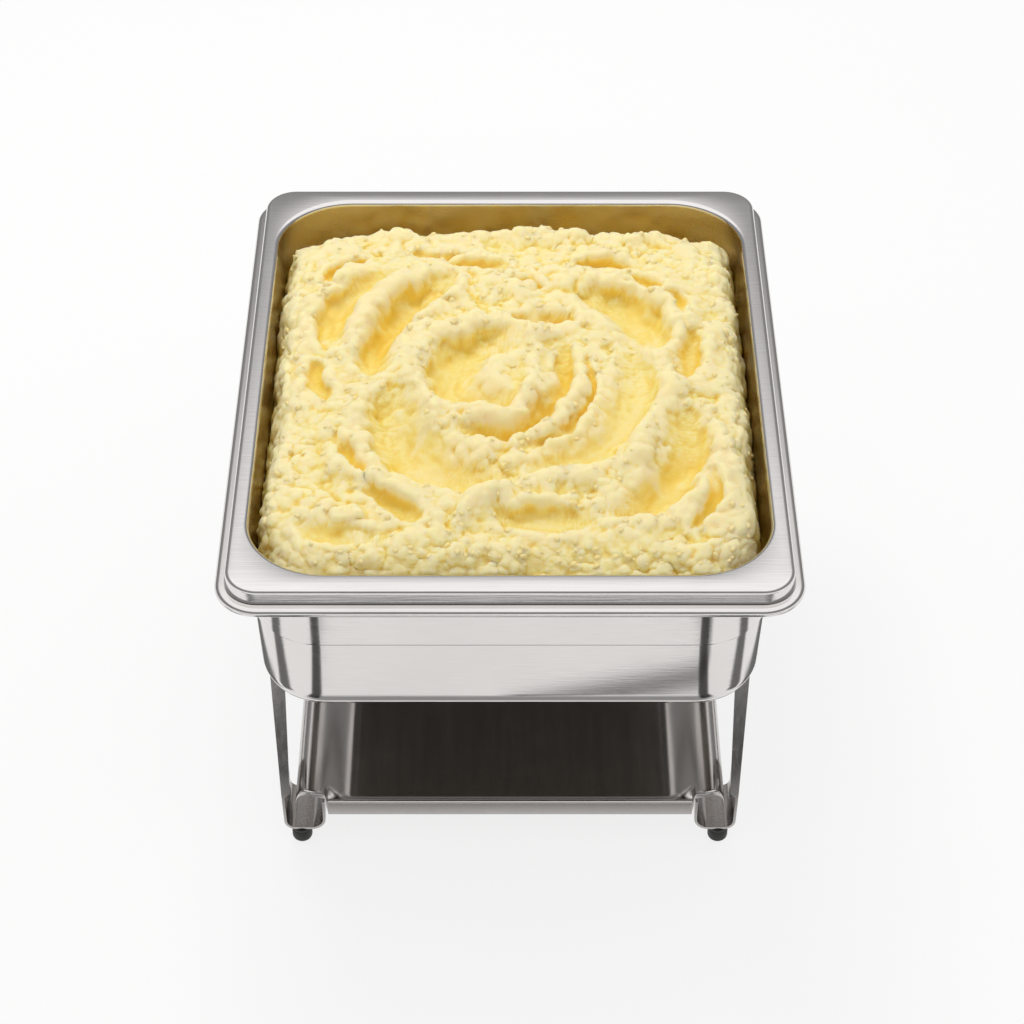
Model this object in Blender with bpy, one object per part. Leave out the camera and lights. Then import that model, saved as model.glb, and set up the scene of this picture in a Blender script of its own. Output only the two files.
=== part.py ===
"""A half-size chafing dish filled with mashed potato: food pan, water pan, stand with fuel shelf and rubber feet.

The origin is on the ground under the middle of the dish. +X is the right-hand side, +Y the back and +Z up.
Lengths are in metres. "Depth" is measured down from the food pan's rim.
"""

import math

import bmesh
import bpy
import numpy as np

# Overall
RIM_HEIGHT = 0.214
GAP = 0.0003
CORNER_STEPS = 6

# Food pan, a half-size gastronorm pan
FLANGE_HALF = (0.1325, 0.1625)
FLANGE_CORNER = 0.016
FLANGE_ROUNDING = 0.0025
SKIRT_DEPTH = 0.008
SKIRT_FLARE = 0.0005
OPENING_HALF = (0.1234, 0.1502)
OPENING_CORNER = 0.038
OPENING_ROUNDING = 0.0025
FOOD_PAN_DEPTH = 0.065
FOOD_PAN_TAPER = 0.0963
FOOD_PAN_FILLET = 0.012
PAN_SHEET = 0.0009

# Water pan, which the food pan hangs in
BODY_HALF = (0.1252, 0.1538)
BODY_CORNER = 0.036
BODY_TAPER = 0.045
BODY_DEPTH = 0.093
BODY_FILLET = 0.014
CREASE_DEPTH = 0.044
CREASE_STEP = 0.0008
CREASE_HEIGHT = 0.0012
BEAD_HALF = (0.1375, 0.1675)
BEAD_CORNER = 0.021
BEAD_RADIUS = 0.0025
LEDGE_DEPTH = SKIRT_DEPTH + GAP

# Stand
STAND_SHEET = 0.0012
RING_TOP_DEPTH = LEDGE_DEPTH + PAN_SHEET + GAP
RING_BAND = 0.0114
RING_OFFSET = 0.0007
# Outer face of a leg: height and distance from the middle plane, straight up to a knee close under the pan
LEG_LINE = ((0.0158, 0.1166), (0.112, 0.1192), (0.136, 0.1229), (0.170, 0.1253), (0.1928, 0.1266))
LEG_FOOT_X = LEG_LINE[0][1]
LEG_TOP_X = LEG_LINE[-1][1]
LEG_TOP_FRONT = 0.1015
BOOT_FRONT = 0.1225
LEG_TOP_WIDTH = 0.034
BOOT_WIDTH = 0.030
BOOT_UNDERSIDE = 0.0098
BOOT_OUTER_RADIUS = 0.006
BOOT_INNER_RADIUS = 0.0075
BOOT_INNER_X = 0.0952
BOOT_INNER_TOP = 0.0300
FLANGE_TOP_Z = 0.1195
FLANGE_FOOT_Z = 0.036
LEG_FLANGE_WIDTHS = (0.0062, 0.0032)
LEG_HEM = 0.00015
FLANGE_END = 0.0015
SLOT_Z = (0.038, 0.066)
SLOT_WIDTH = 0.008
SLOT_SETBACK = 0.010

# Fuel shelf
SHELF_Z = 0.026
SHELF_FLAT = 0.080
SHELF_EDGE = 0.110
HUMP_X = 0.1035
HUMP_Z = 0.041
SHELF_LIP_RISE = 0.004
SHELF_LIP_DEPTH = 0.009
SHELF_SIDE_HEM = 0.003
SHELF_SHEET = 0.001
SHELF_LIP_END = 0.0936
SHELF_LIP_FADE = 0.0012
SHELF_NOSE = 0.003
HUMP_DROP = 0.010

# Feet
FOOT_RADIUS = 0.0052
FOOT_X = 0.108
FOOT_Y = 0.1185

# Mashed potato: levels are relative to the rim
HEAP_SIDE_LEVEL = -0.027
HEAP_FRONT_LEVEL = -0.0055
HEAP_BACK_LEVEL = -0.030
HEAP_TOP_LEVEL = 0.003
HEAP_SHOULDER = 0.009
HEAP_CROWN = 0.004
HEAP_BACK_FALL = (0.070, 0.125)
HEAP_BACK_DROP = 0.009
HEAP_CLEARANCE = 0.0010
HEAP_RINGS = 25
HEAP_SIDE_STEPS = (10, 12)
HEAP_ROUNDER_INSIDE = 0.045


def arc(centre, radius, start, end, steps):
    """Points on an arc in a section plane, angles in degrees from +across towards +up."""
    angles = np.radians(np.linspace(start, end, steps + 1))
    return [(centre[0] + radius * math.cos(a), centre[1] + radius * math.sin(a)) for a in angles]


def rounded_rectangle(half_x, half_y, radius, corner_steps=CORNER_STEPS, side_steps=(1, 1)):
    """Points anticlockwise round a rectangle with round corners."""
    points = []
    corners = ((1, 1, 0), (-1, 1, 90), (-1, -1, 180), (1, -1, 270))
    for k, (sx, sy, start) in enumerate(corners):
        centre = (sx * (half_x - radius), sy * (half_y - radius))
        points += arc(centre, radius, start, start + 90, corner_steps)
        following = corners[(k + 1) % 4]
        turn = math.radians(start + 90)
        last = np.array(points[-1])
        first = np.array([following[0] * (half_x - radius), following[1] * (half_y - radius)])
        first = first + radius * np.array([math.cos(turn), math.sin(turn)])
        steps = side_steps[k % 2]
        points += [tuple(last + (first - last) * i / steps) for i in range(1, steps)]
    return points


def loft(name, loops, material, caps=True, smooth_angle=35):
    """One closed body through loops with the same number of points, capped at both ends or joined end to end."""
    mesh = bpy.data.meshes.new(name)
    build = bmesh.new()
    rings = [[build.verts.new(point) for point in loop] for loop in loops]
    pairs = list(zip(rings, rings[1:]))
    if caps:
        build.faces.new(rings[0][::-1])
        build.faces.new(rings[-1])
    else:
        pairs.append((rings[-1], rings[0]))
    count = len(rings[0])
    for low, high in pairs:
        for i in range(count):
            j = (i + 1) % count
            build.faces.new((low[i], low[j], high[j], high[i]))
    bmesh.ops.recalc_face_normals(build, faces=build.faces)
    build.to_mesh(mesh)
    build.free()
    mesh.shade_smooth()
    mesh.set_sharp_from_angle(angle=math.radians(smooth_angle))
    mesh.materials.append(material)
    node = bpy.data.objects.new(name, mesh)
    bpy.context.scene.collection.objects.link(node)
    return node


def principled(name, colour, roughness, metallic=0.0):
    material = bpy.data.materials.new(name)
    material.use_nodes = True
    shader = material.node_tree.nodes["Principled BSDF"]
    shader.inputs["Base Color"].default_value = (*colour, 1)
    shader.inputs["Roughness"].default_value = roughness
    shader.inputs["Metallic"].default_value = metallic
    return material


def pan_loops(section):
    """Loops of a pan from its section: each point is (anchor rectangle, outward offset, depth)."""
    loops = []
    for (half, corner), offset, depth in section:
        outline = rounded_rectangle(half[0] + offset, half[1] + offset, corner + offset)
        loops.append([(x, y, RIM_HEIGHT - depth) for x, y in outline])
    return loops


def on(anchor, points):
    """Section points on an anchor rectangle, from (outward offset, height over the rim) pairs."""
    return [(anchor, offset, -height) for offset, height in points]


def wall_offset(depth):
    """How far the food pan's inner wall lies outside the opening at a depth."""
    return -(depth - OPENING_ROUNDING) * FOOD_PAN_TAPER


def food_pan(material):
    """Flange with a turned-down skirt, round inner edge, tapered wall and a filleted floor."""
    wall = (OPENING_HALF, OPENING_CORNER)
    edge = (FLANGE_HALF, FLANGE_CORNER)
    sheet = PAN_SHEET
    fillet_depth = FOOD_PAN_DEPTH - FOOD_PAN_FILLET
    floor_centre = (wall_offset(fillet_depth) - FOOD_PAN_FILLET, -fillet_depth)
    lip_centre = (OPENING_ROUNDING, -OPENING_ROUNDING)
    edge_centre = (-FLANGE_ROUNDING, -FLANGE_ROUNDING)
    outside = on(wall, arc(floor_centre, FOOD_PAN_FILLET + sheet, -90, 0, 3))
    outside += on(wall, arc(lip_centre, OPENING_ROUNDING - sheet, 180, 90, 2))
    outside += on(edge, arc(edge_centre, FLANGE_ROUNDING - sheet, 90, 0, 2))
    outside += on(edge, [(SKIRT_FLARE - sheet, -SKIRT_DEPTH), (SKIRT_FLARE, -SKIRT_DEPTH)])
    inside = on(edge, arc(edge_centre, FLANGE_ROUNDING, 0, 90, 3))
    inside += on(wall, arc(lip_centre, OPENING_ROUNDING, 90, 180, 3))
    inside += on(wall, arc(floor_centre, FOOD_PAN_FILLET, 0, -90, 3))
    return loft("food_pan", pan_loops(outside + inside), material)


def body_offset(depth):
    """How far the water pan's outer wall lies outside its top outline at a depth."""
    step = CREASE_STEP if depth > CREASE_DEPTH else 0.0
    return -(depth - LEDGE_DEPTH) * BODY_TAPER - step


def water_pan(material):
    """Deep pan with a creased wall, a ledge under the food pan's skirt and a rolled bead round it."""
    body = (BODY_HALF, BODY_CORNER)
    bead = (BEAD_HALF, BEAD_CORNER)
    sheet = PAN_SHEET
    fillet_depth = BODY_DEPTH - BODY_FILLET
    floor_centre = (body_offset(fillet_depth) - BODY_FILLET, -fillet_depth)
    crease_end = CREASE_DEPTH + CREASE_HEIGHT
    crease = [(body_offset(crease_end), -crease_end), (body_offset(CREASE_DEPTH), -CREASE_DEPTH)]
    under_ledge = LEDGE_DEPTH + sheet
    bead_centre = (-BEAD_RADIUS, -LEDGE_DEPTH - BEAD_RADIUS)
    throat = 0.0010
    outside = on(body, arc(floor_centre, BODY_FILLET, -90, 0, 3))
    outside += on(body, crease)
    outside += on(body, arc((throat, -under_ledge - throat), throat, 180, 90, 2))
    outside += on(bead, arc(bead_centre, BEAD_RADIUS, 145, 450, 7))
    inner_throat = arc((throat, -LEDGE_DEPTH - throat - sheet), throat + sheet, 90, 180, 2)
    inside = on(body, inner_throat)
    inside += on(body, [(offset - sheet, height) for offset, height in reversed(crease)])
    inside += on(body, arc(floor_centre, BODY_FILLET - sheet, 0, -90, 3))
    return loft("water_pan", pan_loops(outside + inside), material)


def stand_ring(material):
    """Flat band round the water pan, close under its ledge."""
    top = RIM_HEIGHT - RING_TOP_DEPTH
    inner = RING_OFFSET
    outer = inner + STAND_SHEET
    section = ((inner, top - RING_BAND), (outer, top - RING_BAND), (outer, top), (inner, top))
    loops = []
    for offset, z in section:
        outline = rounded_rectangle(BODY_HALF[0] + offset, BODY_HALF[1] + offset, BODY_CORNER + offset)
        loops.append([(x, y, z) for x, y in outline])
    return loft("stand_ring", loops, material, caps=False)


def between(value, low, high, at_low, at_high):
    """Straight-line change from at_low to at_high as value goes from low to high, level outside."""
    share = min(max((value - low) / (high - low), 0.0), 1.0)
    return at_low + (at_high - at_low) * share


def leg_path():
    """Outer face of a right-hand leg in the XZ plane, from its top down and round the boot."""
    top_z = RIM_HEIGHT - RING_TOP_DEPTH - RING_BAND - GAP
    heel_z = BOOT_UNDERSIDE + BOOT_OUTER_RADIUS
    bends = [z for z, _ in LEG_LINE[1:-1]]
    edges = [FLANGE_TOP_Z + FLANGE_END, FLANGE_TOP_Z, FLANGE_FOOT_Z, FLANGE_FOOT_Z - 2 * FLANGE_END]
    breaks = sorted([top_z, *bends, *edges], reverse=True)
    path = [(float(np.interp(z, *zip(*LEG_LINE))), z) for z in breaks]
    heel = (LEG_FOOT_X - BOOT_OUTER_RADIUS, heel_z)
    path += arc(heel, BOOT_OUTER_RADIUS, 0, -90, 3)
    toe = (BOOT_INNER_X + BOOT_INNER_RADIUS, BOOT_UNDERSIDE + BOOT_INNER_RADIUS)
    path += arc(toe, BOOT_INNER_RADIUS, -90, -180, 3)
    path.append((BOOT_INNER_X, BOOT_INNER_TOP))
    return path


def leg_section(point, normal):
    """L-shaped section of a leg at a point of its path: side plate, and a flange along its front edge."""
    z = point[1]
    top_z = RIM_HEIGHT - RING_TOP_DEPTH
    front = between(z, FLANGE_FOOT_Z, top_z, BOOT_FRONT, LEG_TOP_FRONT)
    width = between(z, FLANGE_FOOT_Z, top_z, BOOT_WIDTH, LEG_TOP_WIDTH)
    flanged = FLANGE_FOOT_Z <= z <= FLANGE_TOP_Z and normal[0] < -0.9
    reach = LEG_HEM
    if flanged:
        reach = between(z, FLANGE_FOOT_Z, FLANGE_TOP_Z, LEG_FLANGE_WIDTHS[1], LEG_FLANGE_WIDTHS[0])
    across = (0.0, 0.0, STAND_SHEET + reach, STAND_SHEET + reach, STAND_SHEET, STAND_SHEET)
    back = (width, 0.0, 0.0, STAND_SHEET, STAND_SHEET, width)
    return [
        (point[0] + normal[0] * a, -front + b, point[1] + normal[1] * a) for a, b in zip(across, back)
    ]


def leg(name, side, end, material):
    """Leaning leg of bent sheet with a U-shaped boot, slotted above the boot. side and end are +1 or -1."""
    path = np.array(leg_path())
    along = np.gradient(path, axis=0)
    along /= np.linalg.norm(along, axis=1)[:, None]
    normals = np.stack([along[:, 1], -along[:, 0]], axis=1)
    loops = [leg_section(point, normal) for point, normal in zip(path, normals)]
    loops = [[(side * x, -end * y, z) for x, y, z in loop] for loop in loops]
    node = loft(name, loops, material, smooth_angle=25)
    low, high = SLOT_Z
    slot_y = -BOOT_FRONT + SLOT_SETBACK + SLOT_WIDTH / 2
    radius = SLOT_WIDTH / 2
    outline = arc((slot_y, high - radius), radius, 0, 180, 5) + arc((slot_y, low + radius), radius, 180, 360, 5)
    faces = [[(side * x, -end * y, z) for y, z in outline] for x in (LEG_FOOT_X - 0.004, LEG_TOP_X)]
    cutter = loft(name + "_slot", faces, material)
    cutter.hide_render = True
    cutter.display_type = "WIRE"
    cut = node.modifiers.new("slot", "BOOLEAN")
    cut.operation = "DIFFERENCE"
    cut.object = cutter
    return node, cutter


def shelf_height(distance):
    """Height of the shelf's upper face at a distance from its middle line: flat floor and a rounded side hump."""
    rise = HUMP_Z - SHELF_Z
    if distance <= SHELF_FLAT:
        return SHELF_Z
    if distance <= HUMP_X:
        share = (distance - SHELF_FLAT) / (HUMP_X - SHELF_FLAT)
        return SHELF_Z + rise * (share * share * (3 - 2 * share))
    share = (distance - HUMP_X) / (SHELF_EDGE - HUMP_X)
    return HUMP_Z - HUMP_DROP * (1 - math.sqrt(max(0.0, 1 - share * share)))


def shelf_section(x):
    """Closed section of the shelf in the YZ plane at x, with a rolled lip at the front and the back."""
    distance = abs(x)
    floor = shelf_height(distance)
    lip = between(distance, SHELF_LIP_END, SHELF_LIP_END + SHELF_LIP_FADE, 1.0, 0.0)
    front = BOOT_FRONT + SHELF_NOSE * math.sin(math.pi * between(distance, SHELF_LIP_END, SHELF_EDGE, 0.0, 1.0))
    # The lip runs straight across from boot to boot, and the humps start behind it.
    rise = (SHELF_Z + SHELF_LIP_RISE - floor) * lip
    crest = floor + rise
    hem = SHELF_SIDE_HEM + (SHELF_LIP_DEPTH - SHELF_SIDE_HEM) * lip
    upper = [
        (front, crest - hem),
        (front, crest - 0.0015),
        (front - 0.0005, crest - 0.0004),
        (front - 0.0016, crest),
        (front - 0.0032, floor + 0.8 * rise),
        (front - 0.0058, floor + 0.2 * rise),
        (front - 0.0085, floor),
    ]
    sheet = SHELF_SHEET
    lower = [
        (front - sheet, crest - hem),
        (front - sheet, crest - 0.0020),
        (front - sheet - 0.0002, crest - 0.0004 - sheet),
        (front - 0.0018, crest - sheet),
        (front - 0.0034, floor + 0.8 * rise - sheet),
        (front - 0.0060, floor + 0.2 * rise - sheet),
        (front - 0.0087, floor - sheet),
    ]
    loop = [(-y, z) for y, z in upper] + [(y, z) for y, z in reversed(upper)]
    loop += [(y, z) for y, z in lower] + [(-y, z) for y, z in reversed(lower)]
    return [(x, y, z) for y, z in loop]


def shelf(material):
    """Tray between the boots that carries the fuel, with a hump along each side."""
    ramp = [*np.linspace(SHELF_FLAT, SHELF_LIP_END, 5), *np.linspace(SHELF_LIP_END + SHELF_LIP_FADE, HUMP_X, 4)]
    crown = HUMP_X + (SHELF_EDGE - HUMP_X) * np.sin(np.radians([25, 45, 65, 85]))
    half = [*ramp, *crown]
    stations = [-x for x in reversed(half)] + half
    return loft("shelf", [shelf_section(x) for x in stations], material)


def foot(name, side, end, material):
    """Rubber foot with a rounded lower edge and a flat sole."""
    top = BOOT_UNDERSIDE - GAP
    rounding = 0.0030
    profile = [(FOOT_RADIUS, top)]
    profile += arc((FOOT_RADIUS - rounding, rounding), rounding, 0, -90, 4)
    loops = []
    for radius, z in profile:
        turn = [2 * math.pi * k / 20 for k in range(20)]
        loops.append([(radius * math.cos(a), radius * math.sin(a), z) for a in turn])
    node = loft(name, loops, material)
    node.location = (side * FOOT_X, end * FOOT_Y, 0)
    return node


# Spoon strokes in the potato, in millimetres from the middle of the pan: the points that the spoon passed,
# the half-width of the groove, its depth, and the height of the ridge it pushed up on its left (+) or right (-).
STROKES = (
    ("centre bowl", ((6, 22), (-22, 14), (-33, -8), (-22, -28), (-4, -33)), 13, 8.0, -5.0),
    ("inner ring", ((28, 14), (27, -18), (14, -46), (-8, -60), (-28, -55)), 7, 5.5, 4.0),
    ("outer ring", ((58, 12), (63, -20), (54, -52), (34, -74), (6, -84)), 11, 4.5, 4.0),
    ("left crescent", ((-58, -28), (-58, -58), (-44, -80), (-12, -96)), 14, 7.0, -4.5),
    ("right scoop", ((86, -38), (88, -66), (78, -94), (58, -110)), 12, 7.0, 4.5),
    ("upper right scoop", ((42, 62), (62, 50), (72, 26), (58, 18)), 14, 6.5, 4.0),
    ("upper left scoop", ((-32, 80), (-50, 56), (-68, 26), (-72, -4)), 11, 7.5, -4.5),
    ("far left scoop", ((-68, 80), (-88, 56), (-94, 22)), 9, 5.5, -3.0),
    ("middle valley", ((2, 32), (18, 36), (34, 42)), 8, 5.0, 2.5),
    ("right valley", ((94, 24), (88, -2), (84, -16)), 6, 5.0, -3.0),
    ("front valley", ((2, -116), (20, -120), (36, -116)), 10, 8.0, 4.0),
    ("back left pit", ((-22, 92), (-6, 86)), 8, 4.0, 2.0),
    ("back right pit", ((40, 92), (54, 88)), 8, 4.0, 2.0),
)
SPLINE_STEPS = 12
RIDGE_SETOFF = 1.3
RIDGE_BREADTH = 0.5


def smooth_route(points):
    """A smooth open curve through the points, each stretch in SPLINE_STEPS steps (Catmull-Rom)."""
    knots = np.array([points[0], *points, points[-1]], float)
    route = []
    for k in range(1, len(knots) - 2):
        before, start, end, after = knots[k - 1 : k + 3]
        for t in np.linspace(0, 1, SPLINE_STEPS, endpoint=False):
            bend = 2 * start + (end - before) * t
            bend += (2 * before - 5 * start + 4 * end - after) * t**2
            bend += (3 * start - before - 3 * end + after) * t**3
            route.append(bend / 2)
    route.append(knots[-2])
    return np.array(route)


def stroke_relief(x, y, points, width, depth, ridge):
    """Height, in millimetres, that one spoon stroke adds at (x, y): a groove that fades out at both ends, and a ridge
    beside it on the left (ridge over 0) or the right."""
    route = smooth_route(points)
    along = np.gradient(route, axis=0)
    along /= np.linalg.norm(along, axis=1)[:, None]
    apart = np.array([x, y]) - route
    distance = np.linalg.norm(apart, axis=1)
    k = int(distance.argmin())
    left = along[k, 0] * apart[k, 1] - along[k, 1] * apart[k, 0]
    signed = math.copysign(distance[k], left * ridge)
    fade = math.sin(math.pi * k / (len(route) - 1)) ** 0.6
    groove = -depth * math.exp(-((distance[k] / width) ** 2))
    crest = abs(ridge) * math.exp(-(((signed - RIDGE_SETOFF * width) / (RIDGE_BREADTH * width)) ** 2))
    return fade * (groove + crest)


def heap_level(x, y, inside):
    """Height of the potato over the rim at (x, y), inside metres in from the pan's wall."""
    ahead = between(y, -OPENING_HALF[1], -OPENING_HALF[1] + 0.03, 1.0, 0.0)
    behind = between(y, OPENING_HALF[1] - 0.045, OPENING_HALF[1], 0.0, 1.0)
    edge = HEAP_SIDE_LEVEL + (HEAP_FRONT_LEVEL - HEAP_SIDE_LEVEL) * ahead
    edge += (HEAP_BACK_LEVEL - HEAP_SIDE_LEVEL) * behind
    fall = between(y, *HEAP_BACK_FALL, 0.0, 1.0)
    crown = HEAP_CROWN * math.exp(-((x / 0.07) ** 2 + (y / 0.09) ** 2)) - HEAP_BACK_DROP * fall * fall * (3 - 2 * fall)
    rise = 1 - math.exp(-((inside / HEAP_SHOULDER) ** 1.4))
    uneven = 0.0012 * math.sin(x * 170) * math.cos(y * 140) + 0.0008 * math.sin(x * 410 + y * 290)
    level = edge + (HEAP_TOP_LEVEL + crown - edge) * rise
    relief = sum(stroke_relief(x * 1000, y * 1000, *stroke[1:]) for stroke in STROKES) / 1000
    return level + rise * (relief + uneven)


def mashed_potato(material):
    """One solid heap that fills the food pan and rises in swirls to just over its rim."""
    rings = HEAP_RINGS
    shape = {"corner_steps": CORNER_STEPS, "side_steps": HEAP_SIDE_STEPS}
    floor = FOOD_PAN_DEPTH - GAP
    fillet = FOOD_PAN_FILLET
    fillet_depth = floor - fillet
    floor_centre = (wall_offset(fillet_depth) - GAP - fillet, -fillet_depth)
    loops = []
    for offset, height in arc(floor_centre, fillet, -90, 0, 3):
        sides = (OPENING_HALF[0] + offset, OPENING_HALF[1] + offset, OPENING_CORNER + offset)
        loops.append([(x, y, RIM_HEIGHT + height) for x, y in rounded_rectangle(*sides, **shape)])
    for ring in range(rings):
        share = ring / rings
        scale = 1 - share
        corner = (OPENING_CORNER + HEAP_ROUNDER_INSIDE * share) * scale
        outline = rounded_rectangle(OPENING_HALF[0] * scale, OPENING_HALF[1] * scale, corner, **shape)
        loop = []
        for x, y in outline:
            z = heap_level(x, y, OPENING_HALF[0] * share)
            clearance = HEAP_CLEARANCE - wall_offset(max(OPENING_ROUNDING, -z))
            keep = 1 - clearance * scale**4 / math.hypot(x, y)
            loop.append((x * keep, y * keep, RIM_HEIGHT + z))
        loops.append(loop)
    return loft("mashed_potato", loops, material, smooth_angle=180)


def main():
    for left in list(bpy.data.objects):
        bpy.data.objects.remove(left)
    polished = principled("polished steel", (0.62, 0.60, 0.58), 0.22, 1.0)
    brushed = principled("brushed steel", (0.50, 0.48, 0.46), 0.32, 1.0)
    rubber = principled("black rubber", (0.02, 0.02, 0.018), 0.65)
    mash = principled("mashed potato", (0.93, 0.82, 0.46), 0.55)
    dish = bpy.data.objects.new("chafing_dish", None)
    bpy.context.scene.collection.objects.link(dish)
    pieces = [mashed_potato(mash), food_pan(polished), water_pan(polished), stand_ring(brushed)]
    pieces.append(shelf(brushed))
    for end, end_name in ((-1, "front"), (1, "back")):
        for side, side_name in ((-1, "left"), (1, "right")):
            pieces += leg(f"leg_{end_name}_{side_name}", side, end, brushed)
            pieces.append(foot(f"foot_{end_name}_{side_name}", side, end, rubber))
    for piece in pieces:
        piece.parent = dish


main()
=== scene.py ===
"""Looks of a half-size chafing dish heaped with mashed potato.

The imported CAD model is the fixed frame. Every visible piece is rebuilt here with finer sheet edges, beads and
fillets in the place its CAD node holds, and the potato gets its swirls, lumps and grains.
Lengths are in metres, +X is the right-hand side, +Y the back and +Z up.
"""

import math

import bmesh
import bpy
import numpy as np
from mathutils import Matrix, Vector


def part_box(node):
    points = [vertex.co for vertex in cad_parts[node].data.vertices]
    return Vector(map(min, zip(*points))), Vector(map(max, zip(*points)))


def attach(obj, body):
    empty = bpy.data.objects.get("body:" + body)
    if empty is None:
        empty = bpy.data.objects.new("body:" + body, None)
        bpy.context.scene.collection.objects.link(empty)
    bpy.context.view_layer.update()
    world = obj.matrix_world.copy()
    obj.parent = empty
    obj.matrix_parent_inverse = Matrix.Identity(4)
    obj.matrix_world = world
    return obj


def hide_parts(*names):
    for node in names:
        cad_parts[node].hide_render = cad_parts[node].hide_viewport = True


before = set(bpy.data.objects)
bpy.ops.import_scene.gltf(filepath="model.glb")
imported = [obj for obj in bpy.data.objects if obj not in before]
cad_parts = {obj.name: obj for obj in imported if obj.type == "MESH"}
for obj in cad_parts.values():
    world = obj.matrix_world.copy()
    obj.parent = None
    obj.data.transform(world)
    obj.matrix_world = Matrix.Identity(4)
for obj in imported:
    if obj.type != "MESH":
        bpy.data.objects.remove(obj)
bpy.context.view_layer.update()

# ---------------------------------------------------------------- sizes, the same as the CAD source's
MM = 0.001
GAP = 0.3 * MM
PAN_SHEET = 0.9 * MM
STAND_SHEET = 1.2 * MM
SKIRT_DEPTH = 8 * MM
SKIRT_FLARE = 0.5 * MM
FLANGE_CORNER = 16 * MM
FLANGE_ROUNDING = 2.5 * MM
OPENING_HALF = (123.4 * MM, 150.2 * MM)
OPENING_CORNER = 38 * MM
OPENING_ROUNDING = 2.5 * MM
FOOD_PAN_TAPER = 0.0963
FOOD_PAN_FILLET = 12 * MM
BODY_HALF = (125.2 * MM, 153.8 * MM)
BODY_CORNER = 36 * MM
BODY_TAPER = 0.045
BODY_FILLET = 14 * MM
CREASE_DEPTH = 44 * MM
CREASE_STEP = 0.8 * MM
CREASE_HEIGHT = 1.2 * MM
BEAD_CORNER = 21 * MM
BEAD_RADIUS = 2.5 * MM
LEDGE_DEPTH = SKIRT_DEPTH + GAP

pan_low, pan_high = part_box("food_pan")
body_low, body_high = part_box("water_pan")
RIM = pan_high.z
FLANGE_HALF = (pan_high.x - SKIRT_FLARE, pan_high.y - SKIRT_FLARE)
FOOD_PAN_DEPTH = RIM - pan_low.z - PAN_SHEET
BEAD_HALF = (body_high.x, body_high.y)
BODY_DEPTH = RIM - body_low.z


# ---------------------------------------------------------------- mesh helpers
def arc(centre, radius, start, end, steps):
    """Points on an arc in a section plane, angles in degrees from +across towards +up."""
    angles = np.radians(np.linspace(start, end, steps + 1))
    return [(centre[0] + radius * math.cos(a), centre[1] + radius * math.sin(a)) for a in angles]


def rounded_rectangle(half_x, half_y, radius, corner_steps=18):
    """Points anticlockwise round a rectangle with round corners."""
    points = []
    for sx, sy, start in ((1, 1, 0), (-1, 1, 90), (-1, -1, 180), (1, -1, 270)):
        centre = (sx * (half_x - radius), sy * (half_y - radius))
        points += arc(centre, radius, start, start + 90, corner_steps)
    return points


def piece(name, mesh, material, slot, *nodes):
    """A finished mesh as a piece that rides on the dish and stands for its CAD nodes."""
    mesh.materials.append(material)
    obj = bpy.data.objects.new(name, mesh)
    bpy.context.scene.collection.objects.link(obj)
    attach(obj, "root")
    if nodes:
        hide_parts(*nodes)
    return obj


def loft(name, loops, caps=True, smooth_angle=35):
    """One closed body through loops with the same number of points, capped or joined end to end."""
    mesh = bpy.data.meshes.new(name)
    build = bmesh.new()
    rings = [[build.verts.new(point) for point in loop] for loop in loops]
    pairs = list(zip(rings, rings[1:]))
    if caps:
        build.faces.new(rings[0][::-1])
        build.faces.new(rings[-1])
    else:
        pairs.append((rings[-1], rings[0]))
    for low, high in pairs:
        for i in range(len(low)):
            j = (i + 1) % len(low)
            build.faces.new((low[i], low[j], high[j], high[i]))
    bmesh.ops.recalc_face_normals(build, faces=build.faces)
    build.to_mesh(mesh)
    build.free()
    mesh.shade_smooth()
    mesh.set_sharp_from_angle(angle=math.radians(smooth_angle))
    return mesh


def soften_edges(obj, width, angle=40):
    """A fine round on the cut edges of sheet metal, which catches the light."""
    bevel = obj.modifiers.new("cut_edges", "BEVEL")
    bevel.width = width
    bevel.segments = 2
    bevel.limit_method = "ANGLE"
    bevel.angle_limit = math.radians(angle)
    bevel.harden_normals = True
    return obj


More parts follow.
